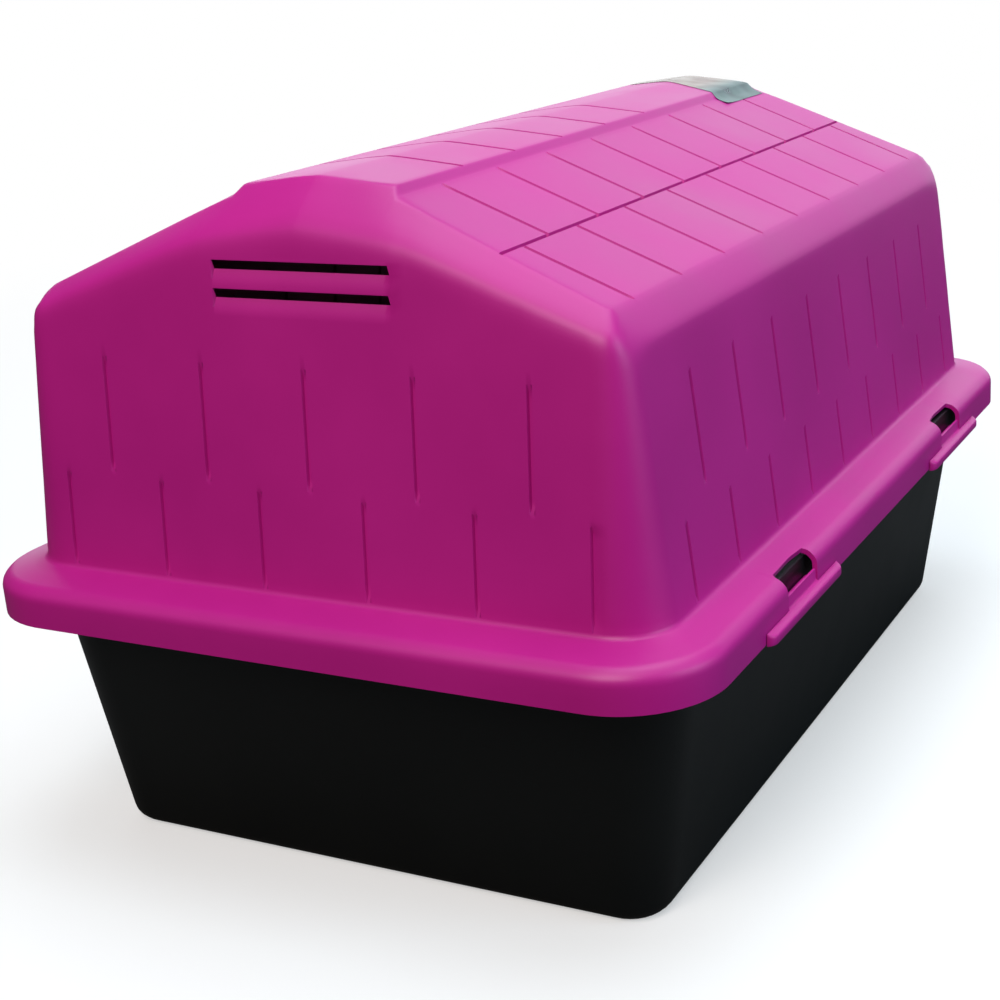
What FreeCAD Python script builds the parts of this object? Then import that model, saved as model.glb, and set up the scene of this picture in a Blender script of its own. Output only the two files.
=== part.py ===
import FreeCAD, Part
import math
import os
import Sketcher

# Pet house: a tapered tub and a house-shaped cover that snaps onto it, in millimetres.
# The origin is on the floor under the middle, +Z is up and the ridge runs along Y.
# The doorway faces -Y and the vented gable faces +Y.

SIZES = {
    # Rim of the cover
    "rim_length": 660.0,
    "rim_width": 467.0,
    "rim_corner_radius": 57.0,
    "rim_bottom": 154.0,
    "skirt_height": 18.6,
    "shoulder_inset": 5.0,
    "shoulder_rise": 5.0,
    "rim_top_side_run": 22.0,
    "rim_top_end_run": 23.0,
    "rim_top_rise": 5.6,
    # Walls of the cover
    "shell": 3.0,
    "wall_foot_radius": 32.0,
    "wall_top_radius": 5.0,
    "wall_height": 144.8,
    "side_wall_lean": 16.0,
    "gable_wall_lean": 12.0,
    # Roof of the cover
    "bevel_run": 12.6,
    "bevel_rise": 18.0,
    "slope_rise": 52.7,
    "cap_width": 103.4,
    "cap_step_run": 3.7,
    "cap_step_rise": 5.4,
    "crown_rise": 4.9,
    # Slanted band round the top of each gable
    "band_setback": 51.0,
    "band_run": 40.0,
    "band_drop": 26.4,
    "band_flat_width": 85.0,
    "rake_run": 150.0,
    "rake_drop": 53.0,
    # Doorway and vent slots
    "door_width": 216.0,
    "door_sill_rise": 13.8,
    "door_side_height": 76.0,
    "door_arch_rise": 50.0,
    "vent_width": 111.0,
    "vent_slot_height": 5.0,
    "vent_rise": 18.5,
    "vent_pitch": 15.3,
    # Tub
    "tub_wall": 3.0,
    "seat_gap": 0.3,
    "flange_side_run": 13.5,
    "flange_end_run": 24.8,
    "flange_lip_drop": 5.0,
    "tub_top_radius": 40.0,
    "tub_side_lean": 25.5,
    "tub_end_lean": 20.0,
    "foot_radius": 25.0,
    "foot_bevel": 6.0,
    # Snap latches
    "latch_offset": 161.0,
    "window_length": 55.0,
    "window_reach": 13.0,
    "sill_rise": 15.0,
    "latch_gap": 0.4,
    "ledge_gap": 0.3,
    "ledge_height": 4.0,
    "tongue_recess": 1.0,
    "lip_length": 118.0,
    "lip_proud": 5.0,
    "lip_drop": 3.5,
    "lip_height": 9.5,
    "lip_slope": 1.5,
    # Blank label on the ridge cap
    "label_width": 90.0,
    "label_length": 62.0,
    "label_end_gap": 3.0,
    "label_film": 0.4,
    "label_glue": 0.1,
    # How far cuts run past what they cut
    "overrun": 20.0,
}

doc = FreeCAD.newDocument("PetHouse")
sheet = doc.addObject("Spreadsheet::Sheet", "Size")
for row, (alias, value) in enumerate(SIZES.items(), start=1):
    sheet.set(f"A{row}", alias.replace("_", " "))
    sheet.set(f"B{row}", str(value))
    sheet.setAlias(f"B{row}", alias)
doc.recompute()

# Heights of the cover, from the skirt's lower edge up to the ridge
SKIRT_TOP = "(Size.rim_bottom + Size.skirt_height)"
SHOULDER = f"({SKIRT_TOP} + Size.shoulder_rise)"
WALL_FOOT = f"({SHOULDER} + Size.rim_top_rise)"
EAVE = f"({WALL_FOOT} + Size.wall_height)"
RIDGE = f"({EAVE} + Size.bevel_rise + Size.slope_rise + Size.cap_step_rise + Size.crown_rise)"
# The walls stand inside the rim's shoulder and lean in towards the eave
FOOT_WIDTH = "(Size.rim_width - 2 * Size.shoulder_inset - 2 * Size.rim_top_side_run)"
FOOT_LENGTH = "(Size.rim_length - 2 * Size.shoulder_inset - 2 * Size.rim_top_end_run)"
EAVE_WIDTH = f"({FOOT_WIDTH} - 2 * Size.side_wall_lean)"
# Where the gable bands leave the ridge
BAND_START = f"({FOOT_LENGTH} / 2 - Size.band_setback)"
# The tub's flange fits inside the shoulder of the rim, and its walls hang from the flange
FLANGE_TOP = f"({SHOULDER} - Size.shell - Size.seat_gap)"
FLANGE_INSET = "(Size.shoulder_inset + Size.shell)"
FLANGE_WIDTH = f"(Size.rim_width - 2 * {FLANGE_INSET})"
FLANGE_LENGTH = f"(Size.rim_length - 2 * {FLANGE_INSET})"
# The latches follow the skirt's lower edge
SILL = "(Size.rim_bottom + Size.sill_rise)"
LIP_BOTTOM = "(Size.rim_bottom - Size.lip_drop)"
LIP_TOP = f"({LIP_BOTTOM} + Size.lip_height)"


def origin_plane(body, role):
    """One of the body's own three origin planes."""
    return next(plane for plane in body.Origin.OriginFeatures if plane.Role == role)


def new_body(label):
    """An empty body with its label."""
    body = doc.addObject("PartDesign::Body", label)
    body.Label = label
    return body


def new_sketch(body, name, role, height="0"):
    """A sketch on an origin plane, raised along the plane's normal by a formula."""
    sketch = body.newObject("Sketcher::SketchObject", name)
    sketch.AttachmentSupport = [(origin_plane(body, role), "")]
    sketch.MapMode = "FlatFace"
    sketch.setExpression("AttachmentOffset.Base.z", height)
    return sketch


def length_of(formula):
    """What a formula comes to with the sheet's present values."""
    result = sheet.evalExpression(formula)
    return float(getattr(result, "Value", result))


def bind(sketch, constraint, formula):
    """Add a measured constraint whose value follows a formula."""
    index = sketch.addConstraint(constraint)
    sketch.setExpression(f"Constraints[{index}]", formula)


def draw_outline(sketch, corners, arcs=None):
    """A closed outline through corners given as pairs of formulas from the sketch's origin.

    arcs maps the number of a side to a formula for the height of its arc's centre; such a side
    bulges upwards between two corners of one height.
    """
    arcs = arcs or {}
    first = sketch.GeometryCount
    count = len(corners)
    points = [FreeCAD.Vector(length_of(across), length_of(up), 0) for across, up in corners]
    for side in range(count):
        start, end = points[side], points[(side + 1) % count]
        if side in arcs:
            middle = (start + end) * 0.5
            centre = FreeCAD.Vector(middle.x, length_of(arcs[side]), 0)
            crest = centre + FreeCAD.Vector(0, (start - centre).Length, 0)
            sketch.addGeometry(Part.Arc(start, crest, end))
        else:
            sketch.addGeometry(Part.LineSegment(start, end))
    # An arc's own ends run anticlockwise, so its first end is the one with the larger x
    ends = {}
    for side in range(count):
        clockwise = side in arcs and points[side].x < points[(side + 1) % count].x
        ends[side] = (2, 1) if clockwise else (1, 2)
    for side in range(count):
        after = (side + 1) % count
        sketch.addConstraint(
            Sketcher.Constraint("Coincident", first + side, ends[side][1], first + after, ends[after][0])
        )
    for side, (across, up) in enumerate(corners):
        corner = (-1, 1, first + side, ends[side][0])
        bind(sketch, Sketcher.Constraint("DistanceX", *corner, points[side].x), across)
        bind(sketch, Sketcher.Constraint("DistanceY", *corner, points[side].y), up)
    for side, centre_height in arcs.items():
        centre = (-1, 1, first + side, 3)
        bind(sketch, Sketcher.Constraint("DistanceY", *centre, length_of(centre_height)), centre_height)


def draw_rounded_rectangle(sketch, width, length, radius):
    """A rectangle about the origin with four equal round corners; all sizes are formulas."""
    half_width, half_length, bend = length_of(width) / 2, length_of(length) / 2, length_of(radius)
    inner_x, inner_y = half_width - bend, half_length - bend
    right = [(half_width, -inner_y), (half_width, inner_y)]
    top = [(inner_x, half_length), (-inner_x, half_length)]
    left = [(-half_width, inner_y), (-half_width, -inner_y)]
    bottom = [(-inner_x, -half_length), (inner_x, -half_length)]
    for start, end in (right, top, left, bottom):
        sketch.addGeometry(Part.LineSegment(FreeCAD.Vector(*start, 0), FreeCAD.Vector(*end, 0)))
    up = FreeCAD.Vector(0, 0, 1)
    quarters = [(inner_x, inner_y), (-inner_x, inner_y), (-inner_x, -inner_y), (inner_x, -inner_y)]
    quarter_turn = math.pi / 2
    for number, centre in enumerate(quarters):
        circle = Part.Circle(FreeCAD.Vector(*centre, 0), up, bend)
        sketch.addGeometry(Part.ArcOfCircle(circle, number * quarter_turn, (number + 1) * quarter_turn))
    for side in range(4):
        arc, after = 4 + side, (side + 1) % 4
        sketch.addConstraint(Sketcher.Constraint("Tangent", side, 2, arc, 1))
        sketch.addConstraint(Sketcher.Constraint("Tangent", arc, 2, after, 1))
    for side, kind in enumerate(("Vertical", "Horizontal", "Vertical", "Horizontal")):
        sketch.addConstraint(Sketcher.Constraint(kind, side))
    for arc in (5, 6, 7):
        sketch.addConstraint(Sketcher.Constraint("Equal", 4, arc))
    bind(sketch, Sketcher.Constraint("Radius", 4, bend), radius)
    bind(sketch, Sketcher.Constraint("DistanceX", -1, 1, 0, 1, half_width), f"({width}) / 2")
    bind(sketch, Sketcher.Constraint("DistanceY", -1, 1, 1, 1, half_length), f"({length}) / 2")
    bind(sketch, Sketcher.Constraint("DistanceX", -1, 1, 2, 1, -half_width), f"-({width}) / 2")
    bind(sketch, Sketcher.Constraint("DistanceY", -1, 1, 3, 1, -half_length), f"-({length}) / 2")


def add_loft(body, name, sections, kind="PartDesign::AdditiveLoft"):
    """A ruled loft through level rounded rectangles: (height, width, length, radius) each."""
    sketches = []
    for number, (height, width, length, radius) in enumerate(sections):
        sketch = new_sketch(body, f"{name}_level_{number}", "XY_Plane", height)
        draw_rounded_rectangle(sketch, width, length, radius)
        sketches.append(sketch)
    doc.recompute()
    loft = body.newObject(kind, name)
    loft.Profile = sketches[0]
    loft.Sections = sketches[1:]
    loft.Ruled = True
    doc.recompute()
    return loft


def cut_away(body, name, sketch, reverse=False, both_ways=False, along=None):
    """Cut a sketch's outline right through the body; it must take something away."""
    before = body.Shape.Volume
    pocket = body.newObject("PartDesign::Pocket", name)
    pocket.Profile = sketch
    pocket.Type = "ThroughAll"
    pocket.Reversed = reverse
    if both_ways:
        pocket.SideType = "Symmetric"
    if along:
        pocket.UseCustomVector = True
        for axis, formula in zip("xyz", along):
            pocket.setExpression(f"Direction.{axis}", formula)
    doc.recompute()
    if not body.Shape.Volume < before:
        raise RuntimeError(f"{name} cut nothing away")
    return pocket


def at_ridge(foot_size, lean):
    """A wall size carried on at the same lean from the wall's foot up to the ridge."""
    return f"({foot_size} - 2 * Size.{lean} * ({RIDGE} - {WALL_FOOT}) / Size.wall_height)"


def cover_block(label, inset, bottom):
    """The cover's outer block, or with an inset the space inside it, as one convex solid."""
    body = new_body(label)

    def level(height, width, length, radius):
        return height, f"{width} - 2 * {inset}", f"{length} - 2 * {inset}", f"{radius} - {inset}"

    shoulder_width = "Size.rim_width - 2 * Size.shoulder_inset"
    shoulder_length = "Size.rim_length - 2 * Size.shoulder_inset"
    shoulder_radius = "Size.rim_corner_radius - Size.shoulder_inset"
    ridge_width = at_ridge(FOOT_WIDTH, "side_wall_lean")
    ridge_length = at_ridge(FOOT_LENGTH, "gable_wall_lean")
    add_loft(body, f"{label}_walls", [
        level(bottom, "Size.rim_width", "Size.rim_length", "Size.rim_corner_radius"),
        level(SKIRT_TOP, "Size.rim_width", "Size.rim_length", "Size.rim_corner_radius"),
        level(f"{SHOULDER} - {inset}", shoulder_width, shoulder_length, shoulder_radius),
        level(f"{WALL_FOOT} - {inset}", FOOT_WIDTH, FOOT_LENGTH, "Size.wall_foot_radius"),
        level(f"{RIDGE} - {inset}", ridge_width, ridge_length, "Size.wall_top_radius"),
    ])

    # Roof section: eave bevel, slope, step up to the ridge cap and its low arch
    eave_x, eave_z = f"({EAVE_WIDTH} / 2 - {inset})", f"({EAVE} - {inset})"
    slope_x, slope_z = f"({eave_x} - Size.bevel_run)", f"({eave_z} + Size.bevel_rise)"
    below_x, below_z = f"({eave_x} + Size.bevel_run)", f"({eave_z} - Size.bevel_rise)"
    crest_z = f"({RIDGE} - {inset})"
    edge_z = f"({crest_z} - Size.crown_rise)"
    step_x, step_z = f"(Size.cap_width / 2 - {inset})", f"({edge_z} - Size.cap_step_rise)"
    edge_x = f"({step_x} - Size.cap_step_run)"
    above_z = f"({RIDGE} + Size.overrun)"
    arch_radius = f"(({edge_x} * {edge_x} + Size.crown_rise * Size.crown_rise) / (2 * Size.crown_rise))"
    right = [(edge_x, edge_z), (step_x, step_z), (slope_x, slope_z), (below_x, below_z), (below_x, above_z)]
    left = [(f"-{across}", up) for across, up in reversed(right)]
    roof = new_sketch(body, f"{label}_roof_line", "XZ_Plane")
    draw_outline(roof, left + right, arcs={len(left) - 1: f"({crest_z} - {arch_radius})"})
    cut_away(body, f"{label}_roof", roof, both_ways=True)

    # Slanted band at each gable: a flat part across the cap and a rake down to each side
    fall = "(Size.band_drop / Size.band_run)"
    flat_x = "(Size.band_flat_width / 2)"
    flat_z = f"({crest_z} + {fall} * ({BAND_START} - {inset}))"
    side_x = "(Size.rim_width / 2 + Size.overrun)"
    side_z = f"({flat_z} - Size.rake_drop / Size.rake_run * ({side_x} - {flat_x}))"
    top_z = f"({flat_z} + {RIDGE})"
    right = [(flat_x, flat_z), (side_x, side_z), (side_x, top_z)]
    left = [(f"-{across}", up) for across, up in reversed(right)]
    for gable, sign in (("front", "-"), ("rear", "")):
        band = new_sketch(body, f"{label}_{gable}_band_line", "XZ_Plane")
        draw_outline(band, left + right)
        outwards = ("0", f"{sign}Size.band_run", "-Size.band_drop")
        cut_away(body, f"{label}_{gable}_band", band, along=outwards)
    return body


def rectangle(left, right, bottom, top):
    """The four corners of an upright rectangle, as formulas."""
    return [(left, bottom), (right, bottom), (right, top), (left, top)]


def make_cover():
    """Thin moulded cover: hollow block with a doorway, vent slots and a window at each latch."""
    cover = cover_block("roof_cover", "0", "Size.rim_bottom")
    space = cover_block("cover_space", "Size.shell", "(Size.rim_bottom - Size.overrun)")
    hollow = cover.newObject("PartDesign::Boolean", "cover_hollow")
    hollow.setObjects([space])
    hollow.Type = "Cut"
    doc.recompute()

    door_x = "(Size.door_width / 2)"
    door_sill = f"({WALL_FOOT} + Size.door_sill_rise)"
    spring_z = f"({door_sill} + Size.door_side_height)"
    rise = "Size.door_arch_rise"
    door_radius = f"(({door_x} * {door_x} + {rise} * {rise}) / (2 * {rise}))"
    doorway = new_sketch(cover, "doorway_line", "XZ_Plane")
    door_corners = rectangle(f"-{door_x}", door_x, door_sill, spring_z)
    draw_outline(doorway, door_corners, arcs={2: f"({spring_z} + {rise} - {door_radius})"})
    cut_away(cover, "doorway", doorway, reverse=True)

    vents = new_sketch(cover, "vent_lines", "XZ_Plane")
    for slot in ("0", "Size.vent_pitch"):
        low = f"({EAVE} + Size.vent_rise + {slot})"
        draw_outline(vents, rectangle("-Size.vent_width / 2", "Size.vent_width / 2", low,
                                      f"({low} + Size.vent_slot_height)"))
    cut_away(cover, "vents", vents)

    # Each window runs down the skirt as the slot that its latch fills
    windows = new_sketch(cover, "window_lines", "XY_Plane")
    near_x, far_x = "(Size.rim_width / 2 - Size.window_reach)", "(Size.rim_width / 2 + Size.overrun)"
    for middle in ("-Size.latch_offset", "Size.latch_offset"):
        low, high = f"({middle} - Size.window_length / 2)", f"({middle} + Size.window_length / 2)"
        draw_outline(windows, rectangle(f"-{far_x}", f"-{near_x}", low, high))
        draw_outline(windows, rectangle(near_x, far_x, low, high))
    cut_away(cover, "windows", windows, reverse=True)
    return cover


def make_tub():
    """Thin tapered tub with an outward flange, turned down at its edge, that carries the cover."""
    tub = new_body("base_tub")
    flange_radius = f"(Size.rim_corner_radius - {FLANGE_INSET})"
    lip_bottom = f"({FLANGE_TOP} - Size.tub_wall - Size.flange_lip_drop)"
    wall = "Size.tub_wall"
    add_loft(tub, "flange_block", [
        (lip_bottom, FLANGE_WIDTH, FLANGE_LENGTH, flange_radius),
        (FLANGE_TOP, FLANGE_WIDTH, FLANGE_LENGTH, flange_radius),
    ])
    channel = (f"{FLANGE_WIDTH} - 2 * {wall}", f"{FLANGE_LENGTH} - 2 * {wall}", f"{flange_radius} - {wall}")
    add_loft(tub, "flange_channel", [
        (f"{lip_bottom} - Size.overrun", *channel),
        (f"{FLANGE_TOP} - {wall}", *channel),
    ], kind="PartDesign::SubtractiveLoft")

    top_width = f"({FLANGE_WIDTH} - 2 * Size.flange_side_run)"
    top_length = f"({FLANGE_LENGTH} - 2 * Size.flange_end_run)"
    top = (top_width, top_length, "Size.tub_top_radius")
    foot_width = f"({top_width} - 2 * Size.tub_side_lean)"
    foot_length = f"({top_length} - 2 * Size.tub_end_lean)"
    foot = (foot_width, foot_length, "Size.foot_radius")
    bevel = "Size.foot_bevel"
    sole = tuple(f"{size} - {count} * {bevel}" for size, count in zip(foot, (2, 2, 1)))
    add_loft(tub, "tub_walls", [("0", *sole), (bevel, *foot), (FLANGE_TOP, *top)])
    inside_sole, inside_foot, inside_top = (
        tuple(f"{size} - {count} * {wall}" for size, count in zip(sizes, (2, 2, 1)))
        for sizes in (sole, foot, top)
    )
    add_loft(tub, "tub_space", [
        (wall, *inside_sole),
        (f"{bevel} + {wall}", *inside_foot),
        (FLANGE_TOP, *inside_top),
        (f"{FLANGE_TOP} + Size.overrun", *inside_top),
    ], kind="PartDesign::SubtractiveLoft")
    return tub


def add_bar(body, name, sketch, length):
    """Pad a cross-section evenly to both sides along Y."""
    pad = body.newObject("PartDesign::Pad", name)
    pad.Profile = sketch
    pad.SideType = "Symmetric"
    pad.setExpression("Length", length)
    doc.recompute()
    return pad


def make_latch(label, turn, middle):
    """Snap latch: a tongue in the skirt with a ledge under the flange and a finger lip outside.

    It is drawn on the -X side about y = 0, then turned about Z and moved along Y to its window.
    """
    latch = new_body(label)
    skirt_x, inside_x = "-(Size.rim_width / 2)", "-(Size.rim_width / 2 - Size.shell)"
    face_x = f"({skirt_x} + Size.tongue_recess)"
    ledge_x = f"-(Size.rim_width / 2 - {FLANGE_INSET} + Size.ledge_gap)"
    root_x, outer_x = f"({skirt_x} - Size.latch_gap)", f"({skirt_x} - Size.lip_proud)"
    ledge_z = f"({SILL} - Size.ledge_height)"
    lip_edge_z = f"({LIP_TOP} - Size.lip_slope)"
    lip = [(root_x, LIP_TOP), (outer_x, lip_edge_z), (outer_x, LIP_BOTTOM)]
    tongue = new_sketch(latch, f"{label}_tongue_line", "XZ_Plane")
    draw_outline(tongue, [
        (ledge_x, SILL), (face_x, SILL), (face_x, LIP_TOP), *lip,
        (inside_x, LIP_BOTTOM), (inside_x, ledge_z), (ledge_x, ledge_z),
    ])
    doc.recompute()
    add_bar(latch, f"{label}_tongue", tongue, "Size.window_length - 2 * Size.latch_gap")
    bar = new_sketch(latch, f"{label}_lip_line", "XZ_Plane")
    draw_outline(bar, [*lip, (root_x, LIP_BOTTOM)])
    doc.recompute()
    add_bar(latch, f"{label}_lip", bar, "Size.lip_length")
    latch.Placement.Rotation = FreeCAD.Rotation(FreeCAD.Vector(0, 0, 1), turn)
    latch.setExpression("Placement.Base.y", middle)
    return latch


def make_label():
    """Blank film that follows the arch of the ridge cap at its front end."""
    label = new_body("ridge_label")
    crest_x = "(Size.cap_width / 2 - Size.cap_step_run)"
    rise = "Size.crown_rise"
    radius = f"(({crest_x} * {crest_x} + {rise} * {rise}) / (2 * {rise}))"
    centre_z = f"({RIDGE} - {radius})"
    half = "(Size.label_width / 2)"
    under = f"({radius} + Size.label_glue)"
    over = f"({under} + Size.label_film)"
    low_z, high_z = (f"({centre_z} + sqrt({bend} * {bend} - {half} * {half}))" for bend in (under, over))
    away = f"({BAND_START} - Size.label_end_gap - Size.label_length)"
    section = new_sketch(label, "label_line", "XZ_Plane", away)
    corners = [(f"-{half}", low_z), (half, low_z), (half, high_z), (f"-{half}", high_z)]
    draw_outline(section, corners, arcs={0: centre_z, 2: centre_z})
    doc.recompute()
    film = label.newObject("PartDesign::Pad", "label_film")
    film.Profile = section
    film.setExpression("Length", "Size.label_length")
    doc.recompute()
    return label


pieces = [
    make_tub(),
    make_cover(),
    make_latch("left_rear_latch", 0, "Size.latch_offset"),
    make_latch("left_front_latch", 0, "-Size.latch_offset"),
    make_latch("right_rear_latch", 180, "Size.latch_offset"),
    make_latch("right_front_latch", 180, "-Size.latch_offset"),
    make_label(),
]
doc.recompute()

for item in doc.Objects:
    if "Invalid" in item.State or "Error" in item.State:
        raise RuntimeError(f"{item.Label} failed: {item.State}")
for piece in pieces:
    if piece.Shape.isNull() or not piece.Shape.isValid() or len(piece.Shape.Solids) != 1:
        raise RuntimeError(f"{piece.Label} is not one sound solid")

os.makedirs("parts", exist_ok=True)
for piece in pieces:
    piece.Shape.exportStep(f"parts/{piece.Label}.step")
    box = piece.Shape.BoundBox
    print(f"{piece.Label}: {piece.Shape.Volume / 1000:.1f} cm3, "
          f"{box.XLength:.1f} x {box.YLength:.1f} x {box.ZLength:.1f} mm")
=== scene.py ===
import math
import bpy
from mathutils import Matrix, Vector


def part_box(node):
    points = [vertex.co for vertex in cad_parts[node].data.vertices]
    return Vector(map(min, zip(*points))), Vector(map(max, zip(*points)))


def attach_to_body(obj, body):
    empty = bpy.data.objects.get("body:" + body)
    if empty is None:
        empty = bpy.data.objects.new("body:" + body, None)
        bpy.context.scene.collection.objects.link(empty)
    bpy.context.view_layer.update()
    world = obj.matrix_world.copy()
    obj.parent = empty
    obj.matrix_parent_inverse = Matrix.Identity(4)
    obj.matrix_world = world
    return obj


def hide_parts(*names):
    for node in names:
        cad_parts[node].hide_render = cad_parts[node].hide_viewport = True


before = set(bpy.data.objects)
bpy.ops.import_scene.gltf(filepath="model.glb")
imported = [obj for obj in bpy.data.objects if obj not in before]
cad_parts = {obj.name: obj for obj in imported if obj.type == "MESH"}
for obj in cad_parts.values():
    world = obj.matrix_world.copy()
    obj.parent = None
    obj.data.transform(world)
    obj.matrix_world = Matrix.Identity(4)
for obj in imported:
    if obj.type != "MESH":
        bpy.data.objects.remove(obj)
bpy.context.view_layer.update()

from types import SimpleNamespace

import bpy
import numpy as np
from mathutils import Matrix, Vector

bl_info = {
    "name": "Moulded Pet House",
    "version": (1, 0, 0),
    "blender": (4, 5, 0),
    "location": "View3D > Sidebar > Pet House",
    "description": "Two-piece moulded pet house: tub, cover with snap latches, and a blank label",
    "category": "Object",
}

MM = 0.001
COVER_LOW, COVER_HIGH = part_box("roof_cover")
LATCHES = {
    "left_rear_latch": (-1, 1),
    "left_front_latch": (-1, -1),
    "right_rear_latch": (1, 1),
    "right_front_latch": (1, -1),
}


def linear(hex_colour):
    """A colour written as sRGB hex, turned to linear red, green and blue."""
    srgb = np.array([int(hex_colour[i:i + 2], 16) for i in (1, 3, 5)]) / 255
    return tuple(float(v) for v in np.where(srgb <= 0.04045, srgb / 12.92, ((srgb + 0.055) / 1.055) ** 2.4))


def length(name, description, millimetres):
    """A length property whose default is written in millimetres."""
    return bpy.props.FloatProperty(name=name, description=description, default=millimetres * MM,
                                   min=0.0, unit="LENGTH", precision=4)


def colour(name, description, hex_colour):
    """A colour property whose default is written as sRGB hex."""
    return bpy.props.FloatVectorProperty(name=name, description=description, default=linear(hex_colour),
                                         size=3, min=0.0, max=1.0, subtype="COLOR")


class PetHouseSizes(bpy.types.PropertyGroup):
    """Sizes of the tub, the cover and what is moulded into them."""

    rim_width: length("Rim width", "Outer width of the cover's rim", (COVER_HIGH.x - COVER_LOW.x) / MM)
    rim_length: length("Rim length", "Outer length of the cover's rim", (COVER_HIGH.y - COVER_LOW.y) / MM)
    rim_bottom: length("Rim bottom", "Height of the skirt's lower edge", COVER_LOW.z / MM)
    ridge: length("Ridge", "Height of the CAD's ridge", COVER_HIGH.z / MM)
    rim_corner: length("Rim corner", "Corner radius of the rim", 57.0)
    skirt: length("Skirt", "Height of the rim's upright skirt", 18.6)
    shoulder: length("Shoulder", "Rise and inset of the rim's shoulder", 5.0)
    rim_run_side: length("Rim top, sides", "Run of the rim's top on the long sides", 22.0)
    rim_run_end: length("Rim top, ends", "Run of the rim's top on the gables", 23.0)
    rim_rise: length("Rim rise", "Rise of the rim's top towards the walls", 5.6)
    shell: length("Shell", "Thickness of the cover's walls", 3.0)
    wall_height: length("Wall height", "Height of the walls up to the eave", 144.8)
    side_lean: length("Side lean", "Lean of the long walls up to the eave", 16.0)
    gable_lean: length("Gable lean", "Lean of the gable walls up to the eave", 12.0)
    wall_foot_radius: length("Wall corner, foot", "Corner radius at the foot of the walls", 32.0)
    wall_top_radius: length("Wall corner, ridge", "Corner radius of the walls at the ridge", 5.0)
    bevel_run: length("Bevel run", "Run of the eave bevel", 12.6)
    bevel_rise: length("Bevel rise", "Rise of the eave bevel", 18.0)
    cap_width: length("Cap width", "Width of the ridge cap with its steps", 103.4)
    step_run: length("Step run", "Run of the ridge cap's step", 3.4)
    step_rise: length("Step rise", "Rise of the ridge cap's step", 5.0)
    crown: length("Crown", "Rise of the ridge cap up to its crest", 5.2)
    crest_drop: length("Crest drop", "Depth of the crest below the CAD's ridge", 1.1)
    band_start: length("Band start", "Where the band's raked parts reach the ridge", 251.0)
    band_flat: length("Band flat", "Half width between those raked parts", 42.5)
    cap_end: length("Cap end", "End of the cap's crest, from the middle", 257.5)
    gable_pitch: length("Gable planks", "Spacing of the plank grooves on the gables", 67.7)
    gable_shift: length("Gable shift", "Shift of the gables' vents and planks", 3.6)
    side_pitch: length("Side planks", "Spacing of the grooves along the house", 61.6)
    groove: length("Groove", "Half width of a moulded groove", 1.7)
    groove_depth: length("Groove depth", "Depth of the grooves between planks", 1.7)
    joint_shift: length("Joint shift", "Drop of the shingle rows' joint below mid-slope", 1.2)
    shingle_depth: length("Shingle depth", "Depth of the grooves between shingles", 2.6)
    door_width: length("Door width", "Width of the doorway", 216.0)
    door_sill: length("Door sill", "Height of the doorway's sill", 197.0)
    door_side: length("Door side", "Height of the doorway's upright sides", 76.0)
    door_arch: length("Door arch", "Rise of the doorway's arch", 50.0)
    vent_width: length("Vent width", "Width of the vent slots", 111.0)
    vent_height: length("Vent height", "Height of each vent slot", 5.0)
    vent_bottom: length("Vent bottom", "Height of the lower slot's lower edge", 346.5)
    vent_pitch: length("Vent pitch", "Spacing of the two slots", 15.3)
    tub_wall: length("Tub wall", "Thickness of the tub", 3.0)
    tub_half_width: length("Tub top", "Half width of the tub under its flange", 212.0)
    tub_half_length: length("Tub top length", "Half length of the tub under its flange", 297.2)
    tub_side_lean: length("Tub side lean", "Lean of the tub's long walls", 25.5)
    tub_end_lean: length("Tub end lean", "Lean of the tub's end walls", 20.0)
    tub_top_radius: length("Tub corner, top", "Corner radius of the tub under its flange", 40.0)
    tub_foot_radius: length("Tub corner, foot", "Corner radius of the tub's foot", 25.0)
    tub_foot_bevel: length("Tub foot bevel", "Rounding of the tub's foot", 6.0)
    flange_lip: length("Flange lip", "Drop of the flange's turned-down edge", 11.0)
    seat_gap: length("Seat gap", "Gap between the flange and the cover", 0.3)
    latch_offset: length("Latch offset", "Distance of each latch from the middle", 161.0)
    window_offset: length("Window offset", "Distance of each window from the middle", 159.45)
    window_length: length("Window length", "Length of each latch window", 49.0)
    window_reach: length("Window reach", "Reach of each window in from the skirt", 10.5)


class PetHouseColours(bpy.types.PropertyGroup):
    """Colours of the plastics, the film and the stage."""

    cover: colour("Cover", "Magenta plastic of the cover", "#B60F84")
    tub: colour("Tub", "Black plastic of the tub", "#070909")
    film: colour("Film", "Clear film of the label, lying on the cap", "#B5A69C")
    # the fold's colour is painted shade: the same clear film, drawn greyer where it folds down
    film_fold_shade: colour("Film fold", "Clear film of the label where it folds down", "#6F827F")
    floor: colour("Floor", "Pale studio floor", "#F4F4F4")


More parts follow.
